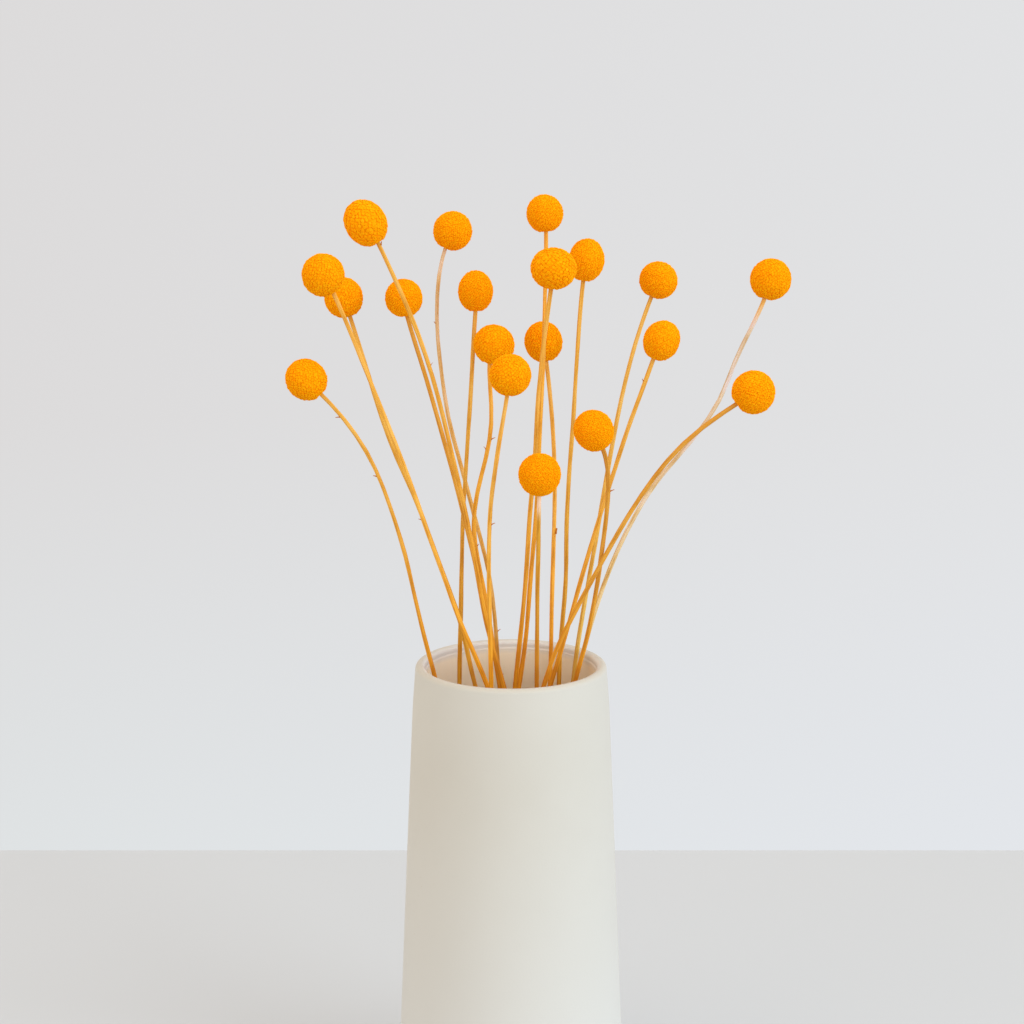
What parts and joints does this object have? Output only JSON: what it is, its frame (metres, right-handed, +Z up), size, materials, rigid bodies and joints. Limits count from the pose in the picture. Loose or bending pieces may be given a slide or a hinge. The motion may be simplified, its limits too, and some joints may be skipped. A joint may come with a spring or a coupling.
{
  "type": "vase of dried billy buttons",
  "caption": "Tall tapered matte ceramic vase holding dried billy button flowers: bare wiry stems fanned from its open mouth, each ending in a round head of packed orange florets.",
  "frame": {"origin": "centre of the vase's flat underside", "axes": "+Z up along the vase's axis, towards its mouth; -Y is the front of the bunch, the side it is seen from; +X to the right seen from the front"},
  "size_m": [0.2576, 0.1224, 0.4883],
  "materials": {
    "ceramic": "matte",
    "stalk": "matte",
    "florets": "matte"
  },
  "bodies": {
    "root": {"vase": "ceramic", "stem_01": "stalk", "stem_02": "stalk", "stem_03": "stalk", "stem_04": "stalk", "stem_05": "stalk", "stem_06": "stalk", "stem_07": "stalk", "stem_08": "stalk", "stem_09": "stalk", "stem_10": "stalk", "stem_11": "stalk", "stem_12": "stalk", "stem_13": "stalk", "stem_14": "stalk", "stem_15": "stalk", "stem_16": "stalk", "stem_17": "stalk", "stem_18": "stalk", "stem_19": "stalk", "flower_head_01": "florets", "flower_head_02": "florets", "flower_head_03": "florets", "flower_head_04": "florets", "flower_head_05": "florets", "flower_head_06": "florets", "flower_head_07": "florets", "flower_head_08": "florets", "flower_head_09": "florets", "flower_head_10": "florets", "flower_head_11": "florets", "flower_head_12": "florets", "flower_head_13": "florets", "flower_head_14": "florets", "flower_head_15": "florets", "flower_head_16": "florets", "flower_head_17": "florets", "flower_head_18": "florets", "flower_head_19": "florets"}
  },
  "joints": []
}
